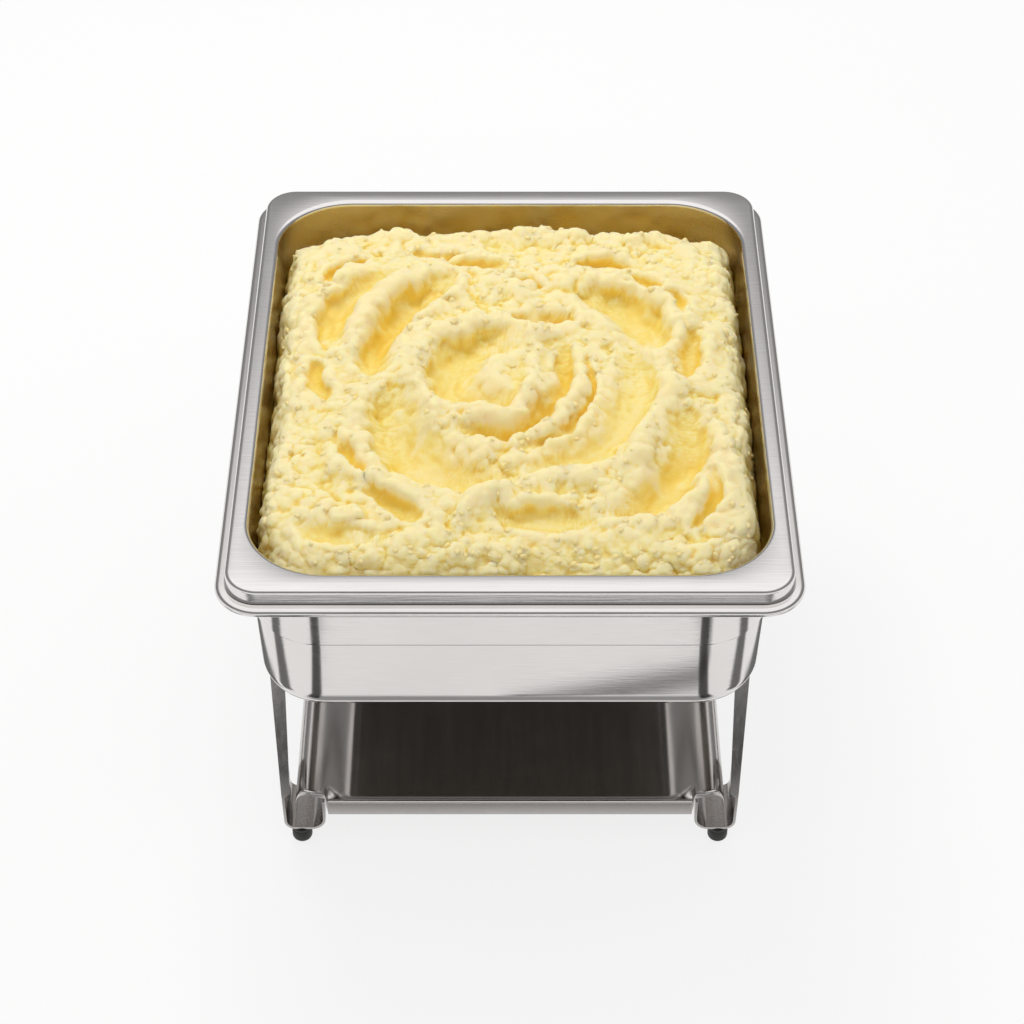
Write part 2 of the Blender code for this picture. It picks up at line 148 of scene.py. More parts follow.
# ---------------------------------------------------------------- material helpers
class Shader:
    """A Principled material and short calls to grow its node tree."""

    def __init__(self, name):
        self.material = bpy.data.materials.new(name)
        self.material.use_nodes = True
        self.tree = self.material.node_tree
        self.principled = self.tree.nodes["Principled BSDF"]

    def node(self, kind, inputs=None, **settings):
        made = self.tree.nodes.new("ShaderNode" + kind)
        for key, value in settings.items():
            setattr(made, key, value)
        for key, value in (inputs or {}).items():
            self.put(value, made.inputs[key])
        return made

    def put(self, value, socket):
        if isinstance(value, bpy.types.NodeSocket):
            self.tree.links.new(value, socket)
        else:
            socket.default_value = value

    def coordinates(self, scale=(1, 1, 1)):
        """Object coordinates stretched by scale. Each piece's origin is the frame's."""
        where = self.node("TexCoord").outputs["Object"]
        return self.node("Mapping", {"Vector": where, "Scale": scale}).outputs["Vector"]

    def distance(self, axis):
        """How far a point lies from the frame's origin along one axis."""
        where = self.node("SeparateXYZ", {"Vector": self.coordinates()})
        return self.maths("ABSOLUTE", where.outputs[axis])

    def noise(self, where, scale, detail=2.0, roughness=0.5):
        inputs = {"Vector": where, "Scale": scale, "Detail": detail, "Roughness": roughness}
        return self.node("TexNoise", inputs).outputs["Fac"]

    def ramp(self, value, low, high, to_low=0.0, to_high=1.0):
        """value from low..high to to_low..to_high, clamped."""
        inputs = {"Value": value, "From Min": low, "From Max": high, "To Min": to_low, "To Max": to_high}
        return self.node("MapRange", inputs).outputs["Result"]

    def mix(self, share, first, second, blend="MIX"):
        made = self.node("Mix", data_type="RGBA", blend_type=blend)
        # A colour Mix keeps its factor in input 0, its colours in 6 and 7 and its result in output 2.
        self.put(share, made.inputs[0])
        self.put(first, made.inputs[6])
        self.put(second, made.inputs[7])
        return made.outputs[2]

    def maths(self, operation, first, second=0.0):
        made = self.node("Math", operation=operation)
        self.put(first, made.inputs[0])
        self.put(second, made.inputs[1])
        return made.outputs["Value"]

    def bump(self, height, distance, strength=1.0, onto=None):
        inputs = {"Height": height, "Distance": distance, "Strength": strength}
        if onto is not None:
            inputs["Normal"] = onto
        return self.node("Bump", inputs).outputs["Normal"]

    def surface(self, share, first, second):
        """Ends the material in a mix of two shaders."""
        both = self.node("MixShader")
        for socket, value in zip(both.inputs, (share, first, second)):
            self.put(value, socket)
        self.put(both.outputs["Shader"], self.tree.nodes["Material Output"].inputs["Surface"])

    def set(self, **values):
        """Principled inputs by name, with _ for a space."""
        for key, value in values.items():
            self.put(value, self.principled.inputs[key.replace("_", " ")])


def steel(name, colour, roughness, grain, painted_tint=None):
    """Stainless steel: a fine brushed grain along one axis, faint cloudiness and a few smudges."""
    shader = Shader(name)
    fine = shader.noise(shader.coordinates(grain), 1.0, 3.0, 0.6)
    cloud = shader.noise(shader.coordinates(), 14.0, 3.0, 0.55)
    smudge = shader.ramp(shader.noise(shader.coordinates(), 38.0, 4.0, 0.6), 0.52, 0.78)
    base = shader.mix(shader.ramp(cloud, 0.3, 0.7), (*[c * 0.95 for c in colour], 1), (*colour, 1))
    base = shader.mix(shader.ramp(fine, 0.3, 0.7, 0.0, 0.22), base, (*[c * 0.82 for c in colour], 1))
    dull = 0.0
    # The tint given here is painted: a painted reflection inside the food pan, painted shade on the shelf
    if painted_tint is not None:
        base, dull = painted_tint(shader, base)
    rough = shader.ramp(fine, 0.25, 0.75, roughness - 0.035, roughness + 0.045)
    rough = shader.maths("ADD", rough, shader.maths("MULTIPLY", dull, 0.16))
    rough = shader.maths("ADD", rough, shader.maths("MULTIPLY", smudge, 0.05))
    shader.set(Base_Color=base, Roughness=rough, Metallic=1.0)
    shader.set(Normal=shader.bump(fine, 0.00004, 0.35))
    return shader.material


RUBBER_BLACK = (0.012, 0.012, 0.011, 1)
RUBBER_DUST = (0.034, 0.032, 0.029, 1)


def rubber():
    """Black rubber with a dusty, slightly pitted skin."""
    shader = Shader("black_rubber")
    where = shader.coordinates()
    dust = shader.noise(where, 260.0, 4.0, 0.6)
    pores = shader.noise(where, 1500.0, 2.0, 0.5)
    shader.set(Base_Color=shader.mix(shader.ramp(dust, 0.35, 0.75), RUBBER_BLACK, RUBBER_DUST))
    shader.set(Roughness=shader.ramp(dust, 0.3, 0.7, 0.42, 0.62))
    shader.set(Normal=shader.bump(pores, 0.00012, 0.5))
    return shader.material


# ---------------------------------------------------------------- pans
def pan_loops(section):
    """Loops of a pan from its section, whose points are (anchor rectangle, outward offset, depth)."""
    loops = []
    for (half, corner), offset, depth in section:
        outline = rounded_rectangle(half[0] + offset, half[1] + offset, corner + offset)
        loops.append([(x, y, RIM - depth) for x, y in outline])
    return loops


def on(anchor, points):
    """Section points (outward offset, height) tied to the rectangle they are measured from."""
    return [(anchor, offset, -height) for offset, height in points]


def wall_offset(depth):
    """How far the food pan's inner wall lies outside the opening at a depth."""
    return -(depth - OPENING_ROUNDING) * FOOD_PAN_TAPER


def food_pan():
    """Flange with a turned-down skirt, a round bright inner edge, tapered wall and filleted floor."""
    wall = (OPENING_HALF, OPENING_CORNER)
    edge = (FLANGE_HALF, FLANGE_CORNER)
    sheet = PAN_SHEET
    fillet_depth = FOOD_PAN_DEPTH - FOOD_PAN_FILLET
    floor_centre = (wall_offset(fillet_depth) - FOOD_PAN_FILLET, -fillet_depth)
    lip_centre = (OPENING_ROUNDING, -OPENING_ROUNDING)
    edge_centre = (-FLANGE_ROUNDING, -FLANGE_ROUNDING)
    outside = on(wall, arc(floor_centre, FOOD_PAN_FILLET + sheet, -90, 0, 6))
    outside += on(wall, arc(lip_centre, OPENING_ROUNDING - sheet, 180, 90, 5))
    outside += on(edge, arc(edge_centre, FLANGE_ROUNDING - sheet, 90, 0, 5))
    outside += on(edge, [(SKIRT_FLARE - sheet, -SKIRT_DEPTH), (SKIRT_FLARE, -SKIRT_DEPTH)])
    inside = on(edge, arc(edge_centre, FLANGE_ROUNDING, 0, 90, 8))
    inside += on(wall, arc(lip_centre, OPENING_ROUNDING, 90, 180, 8))
    inside += on(wall, arc(floor_centre, FOOD_PAN_FILLET, 0, -90, 8))
    return loft("food_pan_shell", pan_loops(outside + inside))


def body_offset(depth):
    """How far the water pan's outer wall lies outside its top outline at a depth."""
    step = CREASE_STEP if depth > CREASE_DEPTH else 0.0
    return -(depth - LEDGE_DEPTH) * BODY_TAPER - step


def water_pan():
    """Deep pan with a creased wall, a ledge under the food pan's skirt and a rolled bead round it."""
    body = (BODY_HALF, BODY_CORNER)
    bead = (BEAD_HALF, BEAD_CORNER)
    sheet = PAN_SHEET
    fillet_depth = BODY_DEPTH - BODY_FILLET
    floor_centre = (body_offset(fillet_depth) - BODY_FILLET, -fillet_depth)
    crease_end = CREASE_DEPTH + CREASE_HEIGHT
    crease = [(body_offset(crease_end), -crease_end), (body_offset(CREASE_DEPTH), -CREASE_DEPTH)]
    under_ledge = LEDGE_DEPTH + sheet
    bead_centre = (-BEAD_RADIUS, -LEDGE_DEPTH - BEAD_RADIUS)
    throat = 1 * MM
    outside = on(body, arc(floor_centre, BODY_FILLET, -90, 0, 10))
    outside += on(body, crease)
    outside += on(body, arc((throat, -under_ledge - throat), throat, 180, 90, 4))
    outside += on(bead, arc(bead_centre, BEAD_RADIUS, 145, 450, 22))
    inner_throat = arc((throat, -LEDGE_DEPTH - throat - sheet), throat + sheet, 90, 180, 4)
    inside = on(body, inner_throat)
    inside += on(body, [(offset - sheet, height) for offset, height in reversed(crease)])
    inside += on(body, arc(floor_centre, BODY_FILLET - sheet, 0, -90, 6))
    return loft("water_pan_shell", pan_loops(outside + inside), smooth_angle=24)


def stand_ring():
    """Flat band round the water pan, close under its ledge."""
    low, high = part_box("stand_ring")
    inner = high.x - STAND_SHEET - BODY_HALF[0]
    section = ((inner, low.z), (inner + STAND_SHEET, low.z), (inner + STAND_SHEET, high.z), (inner, high.z))
    loops = []
    for offset, z in section:
        outline = rounded_rectangle(BODY_HALF[0] + offset, BODY_HALF[1] + offset, BODY_CORNER + offset)
        loops.append([(x, y, z) for x, y in outline])
    return loft("stand_ring_band", loops, caps=False)


# ---------------------------------------------------------------- stand
# Outer face of a leg: height and distance from the middle plane, straight up to a knee close under the pan
LEG_LINE = (
    (15.8 * MM, 116.6 * MM),
    (112 * MM, 119.2 * MM),
    (136 * MM, 122.9 * MM),
    (170 * MM, 125.3 * MM),
    (192.8 * MM, 126.6 * MM),
)
LEG_FOOT_X = LEG_LINE[0][1]
LEG_TOP_X = LEG_LINE[-1][1]
LEG_TOP_FRONT = 101.5 * MM
BOOT_FRONT = 122.5 * MM
LEG_TOP_WIDTH = 34 * MM
BOOT_WIDTH = 30 * MM
BOOT_OUTER_RADIUS = 6 * MM
BOOT_INNER_RADIUS = 7.5 * MM
BOOT_INNER_X = 95.2 * MM
BOOT_INNER_TOP = 30 * MM
FLANGE_TOP_Z = 119.5 * MM
FLANGE_FOOT_Z = 36 * MM
LEG_FLANGE_WIDTHS = (6.2 * MM, 3.2 * MM)
LEG_HEM = 0.15 * MM
FLANGE_END = 1.5 * MM
SLOT_Z = (38 * MM, 66 * MM)
SLOT_WIDTH = 8 * MM
SLOT_SETBACK = 10 * MM
SLOT_CUT_MARGIN = 4 * MM
KNEE_ROUNDING = 2 * MM
EDGE_SOFTNESS = 0.25 * MM


def between(value, low, high, at_low, at_high):
    """Straight-line change from at_low to at_high as value goes from low to high, level outside."""
    share = min(max((value - low) / (high - low), 0.0), 1.0)
    return at_low + (at_high - at_low) * share


def leg_path(top_z, underside):
    """Outer face of a right-hand leg in the XZ plane, from its top down and round the boot."""
    heel_z = underside + BOOT_OUTER_RADIUS
    edges = [FLANGE_TOP_Z + FLANGE_END, FLANGE_TOP_Z, FLANGE_FOOT_Z, FLANGE_FOOT_Z - 2 * FLANGE_END]
    bends = [z + step for z, _ in LEG_LINE[1:-1] for step in (-KNEE_ROUNDING, 0, KNEE_ROUNDING)]
    breaks = sorted([top_z, *bends, *edges], reverse=True)
    path = [(float(np.interp(z, *zip(*LEG_LINE))), z) for z in breaks]
    path += arc((LEG_FOOT_X - BOOT_OUTER_RADIUS, heel_z), BOOT_OUTER_RADIUS, 0, -90, 9)
    inner_centre = (BOOT_INNER_X + BOOT_INNER_RADIUS, underside + BOOT_INNER_RADIUS)
    path += arc(inner_centre, BOOT_INNER_RADIUS, -90, -180, 10)
    path.append((BOOT_INNER_X, BOOT_INNER_TOP))
    return path


def leg_section(point, normal, top_z):
    """L-shaped section of a leg at a point of its path: side plate, and a flange along its front edge."""
    z = point[1]
    front = between(z, FLANGE_FOOT_Z, top_z, BOOT_FRONT, LEG_TOP_FRONT)
    width = between(z, FLANGE_FOOT_Z, top_z, BOOT_WIDTH, LEG_TOP_WIDTH)
    flanged = FLANGE_FOOT_Z <= z <= FLANGE_TOP_Z and normal[0] < -0.9
    reach = LEG_HEM
    if flanged:
        reach = between(z, FLANGE_FOOT_Z, FLANGE_TOP_Z, LEG_FLANGE_WIDTHS[1], LEG_FLANGE_WIDTHS[0])
    across = (0.0, 0.0, STAND_SHEET + reach, STAND_SHEET + reach, STAND_SHEET, STAND_SHEET)
    back = (width, 0.0, 0.0, STAND_SHEET, STAND_SHEET, width)
    return [(point[0] + normal[0] * a, -front + b, point[1] + normal[1] * a) for a, b in zip(across, back)]


def leg(side_name, end_name, material):
    """Leaning leg of bent sheet with a U-shaped boot, slotted above the boot."""
    node = f"leg_{end_name}_{side_name}"
    side = -1 if side_name == "left" else 1
    end = -1 if end_name == "front" else 1
    low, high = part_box(node)
    path = np.array(leg_path(high.z, low.z))
    along = np.gradient(path, axis=0)
    along /= np.linalg.norm(along, axis=1)[:, None]
    normals = np.stack([along[:, 1], -along[:, 0]], axis=1)
    loops = [leg_section(point, normal, high.z) for point, normal in zip(path, normals)]
    loops = [[(side * x, -end * y, z) for x, y, z in loop] for loop in loops]
    made = piece(node + "_sheet", loft(node, loops, smooth_angle=25), material, "stand_steel", node)
    slot_y = -BOOT_FRONT + SLOT_SETBACK + SLOT_WIDTH / 2
    radius = SLOT_WIDTH / 2
    outline = arc((slot_y, SLOT_Z[1] - radius), radius, 0, 180, 12)
    outline += arc((slot_y, SLOT_Z[0] + radius), radius, 180, 360, 12)
    faces = [[(side * x, -end * y, z) for y, z in outline] for x in (LEG_FOOT_X - SLOT_CUT_MARGIN, LEG_TOP_X)]
    cutter = bpy.data.objects.new(node + "_cutter", loft(node + "_cutter", faces))
    bpy.context.scene.collection.objects.link(cutter)
    cut = made.modifiers.new("slot", "BOOLEAN")
    cut.operation = "DIFFERENCE"
    cut.object = cutter
    apply_modifiers(made)
    bpy.data.objects.remove(cutter)
    return soften_edges(made, EDGE_SOFTNESS)


def apply_modifiers(obj):
    """Keeps the evaluated mesh and drops the modifiers."""
    evaluated = obj.evaluated_get(bpy.context.evaluated_depsgraph_get())
    mesh = bpy.data.meshes.new_from_object(evaluated)
    obj.modifiers.clear()
    obj.data = mesh


SHELF_FLAT = 80 * MM
SHELF_EDGE = 110 * MM
HUMP_X = 103.5 * MM
HUMP_DROP = 10 * MM
SHELF_LIP_RISE = 4 * MM
SHELF_LIP_DEPTH = 9 * MM
SHELF_SIDE_HEM = 3 * MM
SHELF_SHEET = 1 * MM
SHELF_LIP_END = 93.6 * MM
SHELF_LIP_FADE = 1.2 * MM
SHELF_NOSE = 3 * MM
SHELF_BEND = 1.6 * MM
SHELF_TUCK = 0.15 * MM
# The lip's roll down to the floor: distance behind the front in millimetres, and share of the lip's rise
LIP_ROLL = ((2.6, 0.93), (3.8, 0.65), (5.2, 0.3), (6.8, 0.07), (8.5, 0.0))


def shelf_height(distance, floor_z, hump_z):
    """Height of the shelf's upper face this far from its middle line: flat, then a rounded side hump."""
    if distance <= SHELF_FLAT:
        return floor_z
    if distance <= HUMP_X:
        share = (distance - SHELF_FLAT) / (HUMP_X - SHELF_FLAT)
        return floor_z + (hump_z - floor_z) * (share * share * (3 - 2 * share))
    share = (distance - HUMP_X) / (SHELF_EDGE - HUMP_X)
    return hump_z - HUMP_DROP * (1 - math.sqrt(max(0.0, 1 - share * share)))


def shelf_section(x, floor_z, hump_z):
    """Closed section of the shelf in the YZ plane at x, with a rolled lip at the front and the back."""
    distance = abs(x)
    floor = shelf_height(distance, floor_z, hump_z)
    lip = between(distance, SHELF_LIP_END, SHELF_LIP_END + SHELF_LIP_FADE, 1.0, 0.0)
    along_nose = between(distance, SHELF_LIP_END, SHELF_EDGE, 0.0, 1.0)
    front = BOOT_FRONT + SHELF_NOSE * math.sin(math.pi * along_nose)
    # The lip runs straight across from boot to boot, and the humps start behind it.
    rise = (floor_z + SHELF_LIP_RISE - floor) * lip
    crest = floor + rise
    hem = SHELF_SIDE_HEM + (SHELF_LIP_DEPTH - SHELF_SIDE_HEM) * lip
    bend = SHELF_BEND
    upper = [(front, crest - hem)]
    upper += [(front - bend + a, crest - bend + b) for a, b in arc((0, 0), bend, 0, 90, 5)]
    upper += [(front - back * MM, floor + rise * share) for back, share in LIP_ROLL]
    sheet = SHELF_SHEET
    lower = [(front - sheet, crest - hem)]
    lower += [(front - bend + a, crest - bend + b) for a, b in arc((0, 0), bend - sheet, 0, 90, 5)]
    lower += [(y - SHELF_TUCK, z - sheet) for y, z in upper[-len(LIP_ROLL) :]]
    loop = [(-y, z) for y, z in upper] + [(y, z) for y, z in reversed(upper)]
    loop += [(y, z) for y, z in lower] + [(-y, z) for y, z in reversed(lower)]
    return [(x, y, z) for y, z in loop]


def shelf():
    """Tray between the boots that carries the fuel, with a hump along each side."""
    low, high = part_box("shelf")
    floor_z = low.z + SHELF_LIP_DEPTH - SHELF_LIP_RISE
    ramp = [*np.linspace(SHELF_FLAT, SHELF_LIP_END, 14)]
    ramp += [*np.linspace(SHELF_LIP_END + SHELF_LIP_FADE, HUMP_X, 9)]
    crown = HUMP_X + (SHELF_EDGE - HUMP_X) * np.sin(np.radians(np.linspace(12, 85, 8)))
    half = [*ramp, *crown]
    stations = [-x for x in reversed(half)] + half
    return loft("shelf_tray", [shelf_section(x, floor_z, high.z) for x in stations], smooth_angle=50)


FOOT_ROUNDING = 3 * MM
FOOT_EDGE = 0.3 * MM
FOOT_GROOVE = 0.25 * MM
FOOT_GROOVE_DROP = 1.2 * MM
FOOT_SIDES = 40


def foot_shape(node):
    """Rubber foot with a rounded lower edge, a shallow moulded groove and a flat sole."""
    low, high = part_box(node)
    radius = (high.x - low.x) / 2
    middle = (low + high) / 2
    profile = [(radius - FOOT_EDGE, high.z), (radius, high.z - FOOT_EDGE)]
    for a in np.linspace(0, math.pi, 6):
        height = high.z - FOOT_GROOVE_DROP - FOOT_GROOVE * a
        profile.append((radius - FOOT_GROOVE * math.sin(a) ** 2, height))
    profile += arc((radius - FOOT_ROUNDING, low.z + FOOT_ROUNDING), FOOT_ROUNDING, 0, -90, 8)
    turn = [2 * math.pi * k / FOOT_SIDES for k in range(FOOT_SIDES)]
    loops = [[(middle.x + r * math.cos(a), middle.y + r * math.sin(a), z) for a in turn] for r, z in profile]
    return loft(node + "_rubber", loops)


# ---------------------------------------------------------------- mashed potato: numbers in millimetres
# Spoon strokes: the points the spoon passed, then its groove's half-width and depth, the height of the ridge
# it pushed up on its left (+) or right (-), and how far that ridge leans back over the groove.
# A negative depth raises a roll of potato instead.
STROKES = (
    # the swirl in the middle, from the inside out
    (((10, 20), (-14, 16), (-28, 0), (-28, -18), (-10, -30), (8, -28)), 14.5, 8.0, -5.5, 1.5),
    (((26, 16), (27, -12), (15, -42), (-6, -57), (-30, -52)), 6.5, 7.0, 3.5, 1.0),
    (((14, 14), (12, -10), (3, -32), (-12, -41), (-26, -40)), 4.5, -4.5, 0.0, 0.0),
    (((38, 8), (42, -22), (32, -48), (8, -66)), 3.2, 3.0, 2.0, 0.8),
    (((60, 18), (64, -16), (56, -46), (36, -69), (6, -81)), 11.5, 5.5, 3.5, 1.0),
    # long crescents round it
    (((-52, -20), (-58, -46), (-46, -71), (-22, -86), (4, -92)), 16.5, 8.0, -5.0, 1.8),
    (((84, -34), (88, -60), (80, -86), (62, -106), (42, -112)), 13.0, 8.0, 5.0, 1.5),
    (((68, -40), (66, -66), (50, -86)), 5.0, -2.5, 0.0, 0.0),
    (((34, 62), (56, 54), (70, 36), (70, 10)), 14.0, 7.5, 5.0, 2.0),
    (((-26, 82), (-43, 61), (-60, 35), (-69, 10), (-66, -12)), 11.5, 8.0, -5.5, 2.0),
    (((-22, 62), (-42, 46), (-56, 20)), 6.0, -3.5, 0.0, 0.0),
    (((-60, 84), (-82, 62), (-93, 38), (-91, 12)), 9.0, 6.0, -3.5, 1.5),
    (((0, 34), (16, 36), (36, 42)), 8.0, 6.5, -2.0, 0.5),
    (((94, 28), (91, 4), (84, -16)), 6.5, 5.0, 3.0, 1.2),
    # short dabs, folds and pits
    (((-8, -112), (14, -118), (44, -115)), 9.0, 3.8, 3.5, 2.0),
    (((-26, -126), (-12, -106), (0, -94)), 6.0, -5.5, 0.0, 0.0),
    (((4, -92), (26, -92), (48, -90)), 6.5, -4.5, 0.0, 0.0),
    (((-34, 92), (-16, 93), (2, 84)), 6.5, 4.2, 3.0, 1.0),
    (((34, 88), (48, 94), (64, 88)), 6.5, 4.5, 3.0, 1.0),
    (((60, 80), (72, 74), (78, 62)), 5.0, 4.0, 2.0, 0.8),
    (((80, 64), (87, 56), (90, 42)), 4.5, 4.0, 2.0, 0.5),
    (((-100, 6), (-97, -10), (-90, -26)), 5.0, 3.2, 2.0, 0.5),
    (((-72, -94), (-58, -107), (-42, -120)), 5.5, 3.6, 2.5, 1.2),
    (((-84, -60), (-78, -76), (-68, -88)), 5.5, 4.5, -2.5, 0.8),
    (((-100, -116), (-84, -127), (-62, -130)), 6.5, 3.2, 2.0, 0.8),
    (((98, -84), (98, -104), (86, -122)), 4.0, 4.0, 2.0, 0.8),
    (((-52, 108), (-36, 104), (-24, 110)), 6.0, 4.5, 1.5, 0.5),
    (((-100, 70), (-88, 88), (-74, 98)), 5.0, 4.0, 2.0, 0.5),
    (((16, 62), (10, 72), (-2, 74)), 5.0, 3.5, 1.5, 0.5),
)
# Mounds: place, radius and height of the peaks that stand out of the heap
MOUNDS = (
    (-62, 128, 11, 6.5),
    (-18, 127, 14, 5.0),
    (4, 132, 10, 8.0),
    (20, 130, 8, 6.0),
    (34, 126, 8, 4.5),
    (68, 127, 12, 6.5),
    (-90, 112, 10, 4.0),
    (92, 110, 10, 4.0),
    (8, 22, 10, 4.5),
    (6, 60, 7, 4.0),
    (84, -22, 8, 6.0),
    (50, -104, 9, 5.5),
    (-2, -94, 7, 5.0),
    (-84, -82, 8, 4.0),
    (-60, 66, 8, 3.0),
    (36, 76, 9, 4.0),
    (-12, -50, 9, 4.5),
    (22, -22, 8, 2.0),
    (-74, -118, 12, 4.0),
    (-36, -118, 9, 3.0),
    (104, 30, 8, 3.0),
    (-106, -30, 8, 3.0),
)
GRID = (272, 334)
HEAP_TOP = 3.0
SIDE_LEVEL, FRONT_LEVEL, BACK_LEVEL = -27.0, -5.0, -30.0
SIDE_SHOULDER, FRONT_SHOULDER, BACK_SHOULDER = 5.0, 5.0, 13.0
SHOULDER_POWER = 1.6
WALL_CLEARANCE = 0.35
RELIEF = 1.3
# How far from the front and back walls the heap's edge changes level
FRONT_RUN, BACK_RUN = 34, 50
CROWN, CROWN_REACH = 4.0, (70, 90)
# Where the heap starts to fall toward the back, over what distance and how far
FALL_START, FALL_RUN, FALL_DROP = 70, 55, 10.0
# A surface whose normal's upright part is under this counts as a crease too, so steep sides get the gold
# painted shade as well
LEVEL_NORMAL = 0.85
# How far round a point its surroundings count, in grid steps, the depth that counts as deep, and the weight
CAVITY_SCALES = ((1, 0.25, 0.3), (3, 0.9, 0.4), (11, 3.2, 0.45))
WALL_GAP = 2.5
# Size of the lumps and how far they stand out
LUMP_SIZES = ((8.5, 3.9), (5.0, 2.5), (2.9, 0.6))
LUMP_WOBBLE = 0.22


def hashed(ix, iy, iz, seed):
    """A number in 0..1 for each lattice point."""
    mixed = ix.astype(np.uint32) * np.uint32(0x9E3779B1) ^ iy.astype(np.uint32) * np.uint32(0x85EBCA77)
    mixed ^= iz.astype(np.uint32) * np.uint32(0xC2B2AE3D) + np.uint32(seed * 7919 + 17)
    mixed ^= mixed >> np.uint32(15)
    mixed *= np.uint32(0x2C1B3C6D)
    mixed ^= mixed >> np.uint32(12)
    mixed *= np.uint32(0x297A2D39)
    mixed ^= mixed >> np.uint32(15)
    return mixed.astype(np.float64) / 4294967295.0


def soft_noise(points, size, seed):
    """Smooth noise in -1..1 at 3-D points, with features of about that size."""
    scaled = points / size
    cell = np.floor(scaled).astype(np.int64)
    part = scaled - cell
    part = part * part * (3 - 2 * part)
    total = np.zeros(len(points))
    for corner in range(8):
        step = np.array([corner & 1, corner >> 1 & 1, corner >> 2 & 1])
        weight = np.prod(np.where(step, part, 1 - part), axis=1)
        total += weight * hashed(*(cell + step).T, seed)
    return 2 * total - 1


def lumps(points, size, seed):
    """Rounded lumps of mixed size at 3-D points: 0 in the creases, up to about 1 on top of a lump."""
    scaled = points / size
    cell = np.floor(scaled).astype(np.int64)
    best = np.zeros(len(points))
    for step in np.ndindex(3, 3, 3):
        near = cell + np.array(step) - 1
        centre = near + np.stack([hashed(*near.T, seed + k) for k in range(3)], axis=1)
        radius = 0.45 + 0.55 * hashed(*near.T, seed + 3)
        away = ((scaled - centre) ** 2).sum(axis=1) / radius**2
        dome = radius * np.sqrt(np.clip(1 - away, 0, None))
        best = np.maximum(best, dome)
    return best


def smooth_route(points, steps=14):
    """A smooth open curve through the points (Catmull-Rom)."""
    knots = np.array([points[0], *points, points[-1]], float)
    route = []
    for k in range(1, len(knots) - 2):
        before, start, end, after = knots[k - 1 : k + 3]
        for t in np.linspace(0, 1, steps, endpoint=False):
            bend = 2 * start + (end - before) * t
            bend += (2 * before - 5 * start + 4 * end - after) * t**2
            bend += (3 * start - before - 3 * end + after) * t**3
            route.append(bend / 2)
    route.append(knots[-2])
    return np.array(route)


def stroke_effect(flat, stroke):
    """What one spoon stroke does at the points flat.

    Returns its height, its shift in the plane, how smooth it leaves the potato and its fine scratches.
    """
    points, width, depth, ridge, lean = stroke
    route = smooth_route(points)
    along = np.gradient(route, axis=0)
    along /= np.linalg.norm(along, axis=1)[:, None]
    apart = flat[:, None, :] - route[None, :, :]
    squared = (apart**2).sum(axis=2)
    k = squared.argmin(axis=1)
    rows = np.arange(len(flat))
    distance = np.sqrt(squared[rows, k])
    nearest = apart[rows, k]
    left = along[k, 0] * nearest[:, 1] - along[k, 1] * nearest[:, 0]
    turn = 1.0 if ridge >= 0 else -1.0
    signed = np.where(left * turn >= 0, distance, -distance)
    share = k / (len(route) - 1)
    fade = np.sin(np.pi * np.clip(share, 0, 1)) ** 0.7
    width = width * (0.45 + 0.55 * fade)
    groove = np.exp(-((distance / width) ** 2.4))
    off = signed - 1.25 * width
    spread = np.where(off < 0, 0.40 * width, 0.80 * width)
    crest = np.exp(-((off / spread) ** 2))
    far_crest = np.exp(-(((signed + 1.3 * width) / (0.55 * width)) ** 2))
    height = RELIEF * fade * (abs(ridge) * (crest + 0.35 * far_crest) - depth * groove)
    outward = np.stack([-along[k, 1], along[k, 0]], axis=1) * turn
    shift = -outward * (lean * fade * crest)[:, None]
    smoothness = fade * np.exp(-((distance / (0.95 * width)) ** 4)) if depth > 0 else 0 * fade
    scratch_at = np.stack([signed / 2.3, share * len(route) / 5.0, np.full(len(flat), stroke[1])], axis=1)
    scratches = soft_noise(scratch_at, 1.0, 91) * fade * np.exp(-((distance / (1.9 * width)) ** 2))
    return height, shift, smoothness, scratches


def ring_mapping(count_x, count_y):
    """A grid over the pan's opening whose outermost ring follows its round corners.

    Returns the points and how far each lies in from the wall.
    """
    e = np.linspace(0, OPENING_HALF[0] / MM, 2000)
    rise = np.exp(-((np.clip(e - WALL_GAP, 0, None) / (1.25 * SIDE_SHOULDER)) ** SHOULDER_POWER))
    path = np.concatenate([[0], np.cumsum(np.hypot(np.diff(e), np.diff(-SIDE_LEVEL * rise)))])
    u, v = np.meshgrid(np.linspace(-1, 1, count_x), np.linspace(-1, 1, count_y), indexing="ij")
    ring = np.maximum(np.maximum(abs(u), abs(v)), 1e-9)
    inside = np.interp((1 - ring) * path[-1], path, e)
    scale = 1 - inside / (OPENING_HALF[0] / MM)
    half_x, half_y = (scale * half / MM for half in OPENING_HALF)
    radius = OPENING_CORNER / MM * scale**1.5
    on_x = abs(u) >= abs(v)
    along = np.where(on_x, v, u) / ring
    straight = np.where(on_x, half_y, half_x) - radius
    reach = abs(along) * (straight + math.pi / 4 * radius)
    angle = np.clip((reach - straight) / np.maximum(radius, 1e-9), 0, math.pi / 4)
    far = np.where(on_x, half_x, half_y) - radius * (1 - np.cos(angle))
    side = np.sign(along) * (np.minimum(reach, straight) + radius * np.sin(angle))
    x = np.where(on_x, np.sign(u) * far, side)
    y = np.where(on_x, side, np.sign(v) * far)
    return np.stack([x, y], axis=-1), inside


def grid_normals(points):
    """Unit normals, pointing up, of a surface given as a grid of points."""
    normals = np.cross(np.gradient(points, axis=0), np.gradient(points, axis=1))
    return normals / np.maximum(np.linalg.norm(normals, axis=-1, keepdims=True), 1e-12)


def blurred(values, radius, passes=2):
    """Box blur of a grid, repeated."""
    for _ in range(passes):
        for axis in (0, 1):
            margins = [(radius + 1, radius) if a == axis else (0, 0) for a in (0, 1)]
            padded = np.pad(values, margins, mode="edge")
            sums = np.cumsum(padded, axis=axis)
            width = 2 * radius + 1
            high = np.take(sums, range(width, sums.shape[axis]), axis=axis)
            low = np.take(sums, range(0, sums.shape[axis] - width), axis=axis)
            values = (high - low) / width
    return values


